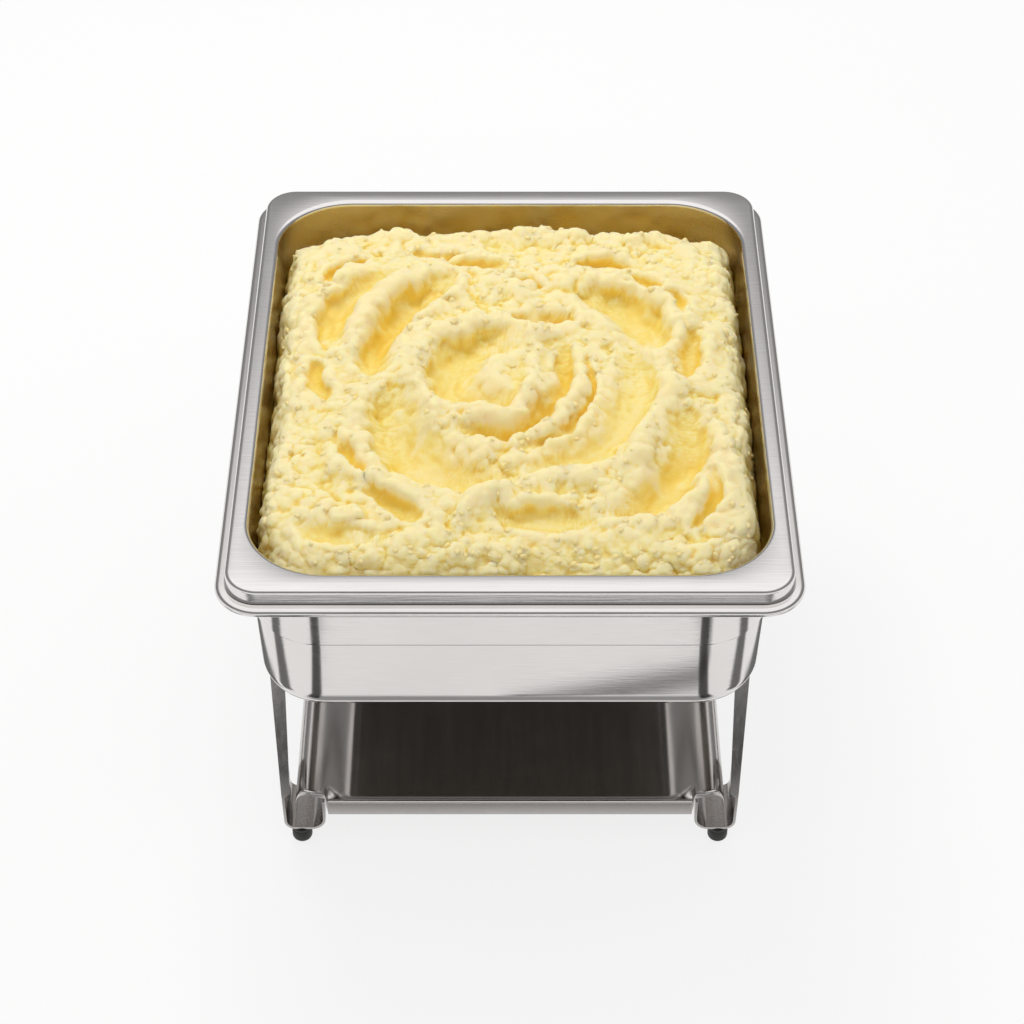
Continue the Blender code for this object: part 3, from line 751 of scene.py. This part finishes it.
def kept_in_pan(points, clearance):
    """Points pushed back inside the food pan's wall, in millimetres relative to the rim."""
    depth = np.clip(-points[:, 2], OPENING_ROUNDING / MM, None)
    offset = -(depth - OPENING_ROUNDING / MM) * FOOD_PAN_TAPER - clearance
    radius = OPENING_CORNER / MM + offset
    half = np.stack([OPENING_HALF[0] / MM + offset, OPENING_HALF[1] / MM + offset], axis=1)
    beyond = abs(points[:, :2]) - (half - radius[:, None])
    corner = np.clip(beyond, 0, None)
    length = np.linalg.norm(corner, axis=1)
    distance = length + np.minimum(beyond.max(axis=1), 0) - radius
    toward = corner / np.maximum(length, 1e-9)[:, None] * np.sign(points[:, :2])
    moved = points.copy()
    moved[:, :2] -= toward * np.clip(distance, 0, None)[:, None]
    return moved


def heap_base(flat, inside):
    """The heap without its strokes: level, and how much of its full relief each point has."""
    x, y = flat.T
    hy = OPENING_HALF[1] / MM
    ahead = np.clip((-y - hy + FRONT_RUN) / FRONT_RUN, 0, 1)
    behind = np.clip((y - hy + BACK_RUN) / BACK_RUN, 0, 1)
    edge = SIDE_LEVEL + (FRONT_LEVEL - SIDE_LEVEL) * ahead + (BACK_LEVEL - SIDE_LEVEL) * behind
    where = np.stack([x, y, 0 * x], axis=1)
    edge += 3.0 * soft_noise(where, 26, 5) * (1 - ahead)
    shoulder = SIDE_SHOULDER + (FRONT_SHOULDER - SIDE_SHOULDER) * ahead
    back_share = np.clip((y - hy + 34) / 24, 0, 1) * np.clip((118 - abs(x)) / 20, 0, 1)
    shoulder = shoulder + (BACK_SHOULDER - shoulder) * back_share
    shoulder = shoulder * (1 + 0.25 * soft_noise(where, 17, 6))
    gap = WALL_GAP * (1 - ahead) * (1 + 0.5 * soft_noise(where, 14, 9))
    rise = 1 - np.exp(-((np.clip(inside - gap, 0, None) / shoulder) ** SHOULDER_POWER))
    fall = np.clip((y - FALL_START) / FALL_RUN, 0, 1)
    crown = CROWN * np.exp(-((x / CROWN_REACH[0]) ** 2 + (y / CROWN_REACH[1]) ** 2))
    crown -= FALL_DROP * fall * fall * (3 - 2 * fall)
    swell = 1.6 * soft_noise(where, 38, 7) + 1.0 * soft_noise(where, 17, 8)
    return edge + (HEAP_TOP + crown + swell - edge) * rise, rise


def heap_surface():
    """The potato's upper surface as a grid of points, in millimetres relative to the rim.

    Returns the points, how deep each lies in a crease and how smooth a spoon left it.
    """
    flat, inside = ring_mapping(*GRID)
    shape = flat.shape[:2]
    flat = flat.reshape(-1, 2)
    inside = inside.reshape(-1)
    where = np.stack([*flat.T, 0 * inside], axis=1)
    wander = np.stack([soft_noise(where, 12, 21), soft_noise(where, 12, 22)], axis=1) * 2.2
    wander += np.stack([soft_noise(where, 5, 23), soft_noise(where, 5, 24)], axis=1) * 0.9
    level, rise = heap_base(flat, inside)
    relief, smooth, scratch = np.zeros(len(flat)), np.zeros(len(flat)), np.zeros(len(flat))
    shift = np.zeros_like(flat)
    for stroke in STROKES:
        height, slide, smoothness, scratches = stroke_effect(flat + wander, stroke)
        relief += height
        shift += slide
        smooth = np.maximum(smooth, smoothness)
        scratch += scratches
    for x, y, radius, height in MOUNDS:
        away = ((flat + wander - (x, y)) ** 2).sum(axis=1) / radius**2
        relief += height * np.exp(-away)
    level += relief * rise + 0.55 * scratch * rise
    flat = flat + shift * rise[:, None]
    surface = np.concatenate([flat, level[:, None]], axis=1)
    lumpy = np.clip(1.12 - 1.1 * smooth, 0.04, 1.0) * (0.88 + 0.32 * soft_noise(where, 15, 31))
    lumpy = lumpy * np.clip(inside / 3, 0.25, 1)
    for k, (size, height) in enumerate(LUMP_SIZES):
        normals = grid_normals(surface.reshape(*shape, 3)).reshape(-1, 3)
        wobble = [soft_noise(surface, 0.8 * size, 41 + 3 * k + a) for a in range(3)]
        bent = surface + LUMP_WOBBLE * size * np.stack(wobble, 1)
        patchy = np.clip(0.8 + 0.5 * soft_noise(surface, 2.6 * size, 61 + k), 0.2, 1.2)
        swelling = height * lumpy * patchy * (lumps(bent, size, 71 + 5 * k) - 0.35)
        surface = surface + normals * swelling[:, None]
    grain = 0.10 * soft_noise(surface, 1.3, 51) + 0.16 * soft_noise(surface, 2.6, 52)
    surface = surface + grid_normals(surface.reshape(*shape, 3)).reshape(-1, 3) * grain[:, None]
    surface = kept_in_pan(surface, WALL_CLEARANCE)
    height = surface[:, 2].reshape(shape)
    # Crease depth and steepness, from which the potato's material paints its shade in gold
    cavity = sum(share * (blurred(height, reach) - height) / scale for reach, scale, share in CAVITY_SCALES)
    cavity += LEVEL_NORMAL - grid_normals(surface.reshape(*shape, 3))[..., 2]
    return surface.reshape(*shape, 3), cavity, smooth.reshape(shape)


def store_cavity(mesh, values):
    """Stores how deep each point lies in a crease, which the potato's material reads to paint shade in gold."""
    layer = mesh.attributes.new("cavity", "FLOAT", "POINT")
    layer.data.foreach_set("value", values.astype(np.float32))


def potato_heap():
    """One closed mesh: the relief on top, and plain sides and an underside that follow the food pan."""
    surface, cavity, smooth = heap_surface()
    nx, ny = GRID
    index = np.arange(nx * ny).reshape(nx, ny)
    quads = np.stack([index[:-1, :-1], index[1:, :-1], index[1:, 1:], index[:-1, 1:]], axis=-1).reshape(-1, 4)
    rim_loop = np.concatenate([index[:, 0], index[-1, 1:], index[-2::-1, -1], index[0, -2:0:-1]])
    points = [surface.reshape(-1, 3)]
    faces = [quads]
    floor = -FOOD_PAN_DEPTH / MM + WALL_CLEARANCE
    fillet = FOOD_PAN_FILLET / MM
    edge = points[0][rim_loop]
    last = rim_loop
    count = len(rim_loop)
    for depth, inward in ((floor + fillet, 0.0), (floor + 0.3 * fillet, 0.29 * fillet), (floor, fillet)):
        ring = edge.copy()
        ring[:, 2] = depth
        ring = kept_in_pan(ring, WALL_CLEARANCE)
        ring[:, :2] *= 1 - inward / np.linalg.norm(ring[:, :2], axis=1)[:, None]
        new = np.arange(count) + sum(len(p) for p in points)
        points.append(ring)
        faces.append(np.stack([last, new, np.roll(new, -1), np.roll(last, -1)], axis=1))
        last = new
    mesh = bpy.data.meshes.new("potato_heap")
    everything = np.concatenate(points) * MM + (0, 0, RIM)
    mesh.from_pydata(everything.tolist(), [], [*np.concatenate(faces).tolist(), last[::-1].tolist()])
    mesh.shade_smooth()
    depths = np.zeros(len(everything))
    depths[: nx * ny] = cavity.reshape(-1)
    store_cavity(mesh, depths)
    return mesh, surface, smooth


GRAIN_COUNT = 600
GRAIN_SIZE = (1.0, 2.0)
GRAIN_CAVITY = 0.1
GRAIN_MARGIN = 12
GRAIN_SINK = 0.42
SMOOTHEST_UNDER_GRAINS = 0.25


def potato_grains(surface, smooth):
    """Loose crumbs of potato sitting on the heap, joined into one mesh."""
    rng = np.random.default_rng(7)
    build = bmesh.new()
    bmesh.ops.create_icosphere(build, subdivisions=2, radius=1.0)
    ball = np.array([vertex.co[:] for vertex in build.verts])
    ball_faces = np.array([[vertex.index for vertex in face.verts] for face in build.faces])
    build.free()
    normals = grid_normals(surface)
    points, faces = [], []
    while len(points) < GRAIN_COUNT:
        row = rng.integers(GRAIN_MARGIN, GRID[0] - GRAIN_MARGIN)
        column = rng.integers(GRAIN_MARGIN, GRID[1] - GRAIN_MARGIN)
        size = rng.uniform(*GRAIN_SIZE)
        stretch = rng.uniform(0.7, 1.2, 3) * size
        turned, _ = np.linalg.qr(rng.normal(size=(3, 3)))
        bend = rng.normal(0, 2.0, 3)
        if smooth[row, column] > SMOOTHEST_UNDER_GRAINS:
            continue
        shaped = ball * (1 + 0.2 * np.sin(ball @ bend)[:, None])
        grain = (shaped * stretch) @ turned * np.sign(np.linalg.det(turned))
        faces.append(ball_faces + len(ball) * len(points))
        points.append(surface[row, column] - normals[row, column] * GRAIN_SINK * size + grain)
    everything = np.concatenate(points) * MM + (0, 0, RIM)
    mesh = bpy.data.meshes.new("potato_grains")
    mesh.from_pydata(everything.tolist(), [], np.concatenate(faces).tolist())
    mesh.shade_smooth()
    store_cavity(mesh, np.full(len(everything), GRAIN_CAVITY))
    return mesh


# Cream on the tops, through yellow to gold in creases and on steep sides: the gold is painted shade
CREAM = (0.94, 0.80, 0.455, 1)
YELLOW = (0.935, 0.76, 0.27, 1)
GOLD_PAINTED_SHADE = (0.90, 0.65, 0.10, 1)
SUBSURFACE_RADIUS = (1.0, 0.8, 0.3)


def potato_material(name, subsurface):
    """Buttery mash, moist and slightly translucent: cream on the tops, golden in the creases and on steep
    sides, where the gold is painted shade.
    """
    shader = Shader(name)
    cavity = shader.node("Attribute", attribute_name="cavity").outputs["Fac"]
    where = shader.coordinates()
    patches = shader.noise(where, 55.0, 3.0, 0.5)
    specks = shader.noise(where, 620.0, 3.0, 0.6)
    pores = shader.noise(where, 1500.0, 2.0, 0.5)
    share = shader.maths("ADD", cavity, shader.ramp(patches, 0.3, 0.7, -0.22, 0.22))
    share = shader.maths("ADD", share, shader.ramp(specks, 0.3, 0.7, -0.16, 0.16))
    base = shader.mix(shader.ramp(share, -0.5, 0.7), CREAM, YELLOW)
    base = shader.mix(shader.ramp(share, 0.5, 2.0), base, GOLD_PAINTED_SHADE)
    rough = shader.ramp(specks, 0.3, 0.7, 0.42, 0.6)
    shader.set(Base_Color=base, Roughness=rough)
    shader.set(Subsurface_Weight=subsurface, Subsurface_Scale=0.006, Subsurface_Radius=SUBSURFACE_RADIUS)
    shader.set(Specular_IOR_Level=0.4)
    shader.set(Normal=shader.bump(pores, 0.00018, 0.4, onto=shader.bump(specks, 0.0005, 0.35)))
    return shader.material


# ---------------------------------------------------------------- assembly
# Dark golden tint on the food pan's inner wall: a painted reflection of the potato's shaded side
POTATO_REFLECTION_PAINT = (0.50, 0.385, 0.20, 1)
# Where the painted reflection ends: outside the pan's opening, and under the rim
REFLECTION_PAINT_EDGE = (0.2 * MM, 0.8 * MM)
REFLECTION_PAINT_TOP = (3.0 * MM, 1.8 * MM)
# Dark tone on the shelf's floor: painted shade and a painted reflection of the water pan's dark underside
UNDER_PAN_PAINTED_SHADE = (0.16, 0.145, 0.12, 1)
# Where the painted shade fades: toward the humps, and toward the lips
PAINTED_SHADE_SIDE = (78 * MM, 84 * MM)
PAINTED_SHADE_END = (114 * MM, 117 * MM)


def paint_reflection_inside_pan(shader, base):
    """Below its rim the food pan's inside is dull, and tinted dark gold: a painted reflection of the potato's
    shaded side.
    """
    inside = shader.ramp(shader.distance("Z"), RIM - REFLECTION_PAINT_TOP[0], RIM - REFLECTION_PAINT_TOP[1], 1.0, 0.0)
    for axis, half in zip("XY", OPENING_HALF):
        within = shader.ramp(shader.distance(axis), half + REFLECTION_PAINT_EDGE[0], half + REFLECTION_PAINT_EDGE[1], 1.0, 0.0)
        inside = shader.maths("MULTIPLY", inside, within)
    return shader.mix(inside, base, POTATO_REFLECTION_PAINT), inside


def shade_under_pan(shader, base):
    """The shelf's floor is darker between its humps: painted shade, and a painted reflection of the water pan's
    dark underside.
    """
    painted_shade = shader.ramp(shader.distance("X"), *PAINTED_SHADE_SIDE, 0.8, 0.0)
    painted_shade = shader.maths("MULTIPLY", painted_shade, shader.ramp(shader.distance("Y"), *PAINTED_SHADE_END, 1.0, 0.0))
    return shader.mix(painted_shade, base, UNDER_PAN_PAINTED_SHADE), 0.0


pan_steel = steel("polished_steel", (0.82, 0.795, 0.785), 0.13, (30, 900, 900), paint_reflection_inside_pan)
water_pan_steel = steel("polished_steel_water_pan", (0.77, 0.745, 0.73), 0.09, (60, 60, 1400))
ring_steel = steel("stand_steel_ring", (0.50, 0.48, 0.46), 0.26, (60, 60, 1500))
leg_steel = steel("stand_steel_legs", (0.50, 0.48, 0.465), 0.24, (900, 900, 40))
shelf_steel = steel("stand_steel_shelf", (0.60, 0.57, 0.55), 0.20, (200, 12, 200), shade_under_pan)
foot_rubber = rubber()
mash = potato_material("mashed_potato", 0.75)
crumbs = potato_material("mashed_potato_crumbs", 0.0)

piece("food_pan_shell", food_pan(), pan_steel, "polished_steel", "food_pan")
piece("water_pan_shell", water_pan(), water_pan_steel, "polished_steel", "water_pan")
soften_edges(piece("stand_ring_band", stand_ring(), ring_steel, "stand_steel", "stand_ring"), EDGE_SOFTNESS)
soften_edges(piece("shelf_tray", shelf(), shelf_steel, "stand_steel", "shelf"), EDGE_SOFTNESS, 55)
for end_name in ("front", "back"):
    for side_name in ("left", "right"):
        leg(side_name, end_name, leg_steel)
        foot = f"foot_{end_name}_{side_name}"
        piece(foot + "_rubber", foot_shape(foot), foot_rubber, "black_rubber", foot)
heap_mesh, heap_points, heap_smoothness = potato_heap()
piece("potato_heap", heap_mesh, mash, "mash", "mashed_potato")
piece("potato_grains", potato_grains(heap_points, heap_smoothness), crumbs, "mash")


# ---------------------------------------------------------------- stage
def staged(name, corners, material):
    """A flat card of the stage."""
    mesh = bpy.data.meshes.new(name)
    mesh.from_pydata(corners, [], [list(range(len(corners)))])
    mesh.materials.append(material)
    obj = bpy.data.objects.new(name, mesh)
    bpy.context.scene.collection.objects.link(obj)
    return obj


def seen_only_in_mirrors(obj):
    """Hides a piece of the stage from every kind of ray but reflections."""
    obj.visible_camera = False
    obj.visible_diffuse = False
    obj.visible_shadow = False
    obj.visible_transmission = False
    obj.visible_volume_scatter = False


def card(name, centre, half, z, material):
    """A flat card of the stage, its own origin in its middle."""
    corners = [(sx * half[0], sy * half[1], 0) for sx, sy in ((-1, -1), (1, -1), (1, 1), (-1, 1))]
    obj = staged(name, corners, material)
    obj.location = (*centre, z)
    return obj


FLOOR_GREYS = ((0.92, 0.92, 0.92, 1), (0.94, 0.94, 0.94, 1))
FLOOR_GLOW = 0.8
FLAG_BLACK = (0.02, 0.02, 0.02, 1)
# Heights of the flags over the floor, one above the other where they overlap
LOW_FLAG, MIDDLE_FLAG, HIGH_FLAG = 0.5 * MM, 0.8 * MM, 1.1 * MM


def white_floor():
    """Pale floor: the camera sees it near white, with the shadow it receives at part strength."""
    shader = Shader("pale_floor")
    cloud = shader.noise(shader.coordinates(), 6.0, 2.0)
    shader.set(Base_Color=shader.mix(cloud, *FLOOR_GREYS), Roughness=0.8)
    glow = shader.node("Emission", {"Color": (1, 1, 1, 1), "Strength": 1.0})
    path = shader.node("LightPath")
    seen = shader.maths("MAXIMUM", path.outputs["Is Camera Ray"], path.outputs["Is Glossy Ray"])
    share = shader.maths("MULTIPLY", seen, FLOOR_GLOW)
    shader.surface(share, shader.principled.outputs["BSDF"], glow.outputs["Emission"])
    return shader.material


def soft_dark(name, half, soft, most):
    """Dark card with soft edges: see-through round its border, most dark in its middle."""
    shader = Shader(name)
    share = most
    for axis, reach in zip("XY", half):
        inside = shader.ramp(shader.distance(axis), reach - soft, reach, 1.0, 0.0)
        share = shader.maths("MULTIPLY", inside, share)
    clear = shader.node("BsdfTransparent")
    shader.set(Base_Color=FLAG_BLACK, Roughness=1.0)
    shader.surface(share, clear.outputs["BSDF"], shader.principled.outputs["BSDF"])
    return shader.material


def painted_reflection_flag(name, centre, half, soft, most, z=LOW_FLAG):
    """A soft dark card on the floor that only mirrors see: a painted dark reflection."""
    flag = card(name, centre, half, z, soft_dark(name + "_dark", half, soft, most))
    seen_only_in_mirrors(flag)
    return flag


FLOOR_HALF = 3.0
card("floor", (0, 0), (FLOOR_HALF, FLOOR_HALF), 0, white_floor())
# Dark cards that only reflections see: painted reflections of the dish's own soft shadow on the table and of
# dark shapes beside it.
painted_reflection_flag("flag_front", (0, -0.190), (0.15, 0.055), 0.025, 0.65)
painted_reflection_flag("flag_skirt", (0, -0.465), (0.50, 0.048), 0.022, 0.88)
painted_reflection_flag("flag_under", (0, 0.30), (0.118, 0.26), 0.015, 0.93)
wedge = painted_reflection_flag("flag_wedge", (0.080, -0.262), (0.090, 0.016), 0.012, 0.75, HIGH_FLAG)
wedge.rotation_euler.z = math.radians(-15)
for side_name, side in (("left", -1), ("right", 1)):
    painted_reflection_flag(f"flag_corner_{side_name}", (side * 0.132, -0.29), (0.021, 0.11), 0.006, 0.93, MIDDLE_FLAG)
    painted_reflection_flag(f"flag_side_{side_name}", (side * 0.29, -0.15), (0.10, 0.032), 0.010, 0.85)
    painted_reflection_flag(f"flag_edge_{side_name}", (side * 0.20, 0.06), (0.035, 0.16), 0.012, 0.85, MIDDLE_FLAG)

# Fitted to the food pan's flange in the photograph: how far ahead of the dish and over its rim, and the tilt
CAMERA_AHEAD = 1.0874
CAMERA_OVER_RIM = 0.849
CAMERA_TILT = 49.1
CAMERA_LENS = 96.26
camera = bpy.data.objects.new("camera", bpy.data.cameras.new("camera"))
camera.data.lens = CAMERA_LENS
camera.data.sensor_width = 36
camera.data.shift_x = 0.002
camera.location = (0, -CAMERA_AHEAD, RIM + CAMERA_OVER_RIM)
camera.rotation_euler = (math.radians(CAMERA_TILT), 0, 0)
bpy.context.scene.collection.objects.link(camera)
bpy.context.scene.camera = camera


def area_lamp(name, place, aim, size, power, colour):
    """A soft rectangular lamp at a place, turned toward its aim."""
    lamp = bpy.data.lights.new(name, "AREA")
    lamp.shape = "RECTANGLE"
    lamp.size, lamp.size_y = size
    lamp.energy = power
    lamp.color = colour
    obj = bpy.data.objects.new(name, lamp)
    obj.location = place
    toward = np.array(aim, float) - np.array(place, float)
    flat = math.hypot(toward[0], toward[1])
    obj.rotation_euler = (math.atan2(flat, -toward[2]), 0, math.atan2(-toward[0], toward[1]))
    obj.visible_camera = False
    bpy.context.scene.collection.objects.link(obj)
    return obj


key = area_lamp("key", (-0.22, 0.55, 1.40), (0, 0, RIM), (0.6, 0.5), 7.4, (1.0, 0.985, 0.96))
key.visible_glossy = False


# Brightness of the room over (sine of the elevation + 1) / 2: what lights the dish, and what mirrors see
ROOM_LIGHT = ((0.0, 0.64), (0.5, 0.66), (0.75, 0.70), (1.0, 0.72))
ROOM_IN_MIRRORS = ((0.0, 0.25), (0.5, 0.24), (0.70, 0.27), (0.775, 0.31))
ROOM_IN_MIRRORS += ((0.80, 0.54), (0.835, 1.03), (0.86, 1.12), (1.0, 1.12))


def build_world():
    """Plain white for the camera; soft light from above; a graded room in mirrors, dark near the horizon."""
    world = bpy.data.worlds.new("studio")
    world.use_nodes = True
    tree = world.node_tree
    tree.nodes.clear()

    def node(kind, **settings):
        made = tree.nodes.new("ShaderNode" + kind)
        for key_name, value in settings.items():
            setattr(made, key_name, value)
        return made

    def ramp(stops):
        made = node("ValToRGB")
        elements = made.color_ramp.elements
        while len(elements) > 1:
            elements.remove(elements[-1])
        elements[0].position, elements[0].color = stops[0][0], (*[stops[0][1]] * 3, 1)
        for place, value in stops[1:]:
            elements.new(place).color = (*[value] * 3, 1)
        return made

    split = node("SeparateXYZ")
    tree.links.new(node("TexCoord").outputs["Generated"], split.inputs[0])
    height = node("MapRange")
    height.inputs["From Min"].default_value = -1.0
    tree.links.new(split.outputs["Z"], height.inputs["Value"])
    light, mirror = ramp(ROOM_LIGHT), ramp(ROOM_IN_MIRRORS)
    for made in (light, mirror):
        tree.links.new(height.outputs["Result"], made.inputs["Fac"])
    path = node("LightPath")
    seen = node("Mix", data_type="RGBA")
    tree.links.new(path.outputs["Is Glossy Ray"], seen.inputs[0])
    tree.links.new(light.outputs["Color"], seen.inputs[6])
    tree.links.new(mirror.outputs["Color"], seen.inputs[7])
    backdrop = node("Mix", data_type="RGBA")
    tree.links.new(path.outputs["Is Camera Ray"], backdrop.inputs[0])
    tree.links.new(seen.outputs[2], backdrop.inputs[6])
    backdrop.inputs[7].default_value = (1, 1, 1, 1)
    background = node("Background")
    tree.links.new(backdrop.outputs[2], background.inputs["Color"])
    output = node("OutputWorld")
    tree.links.new(background.outputs["Background"], output.inputs["Surface"])
    bpy.context.scene.world = world


build_world()
bpy.context.scene.view_settings.view_transform = "Standard"
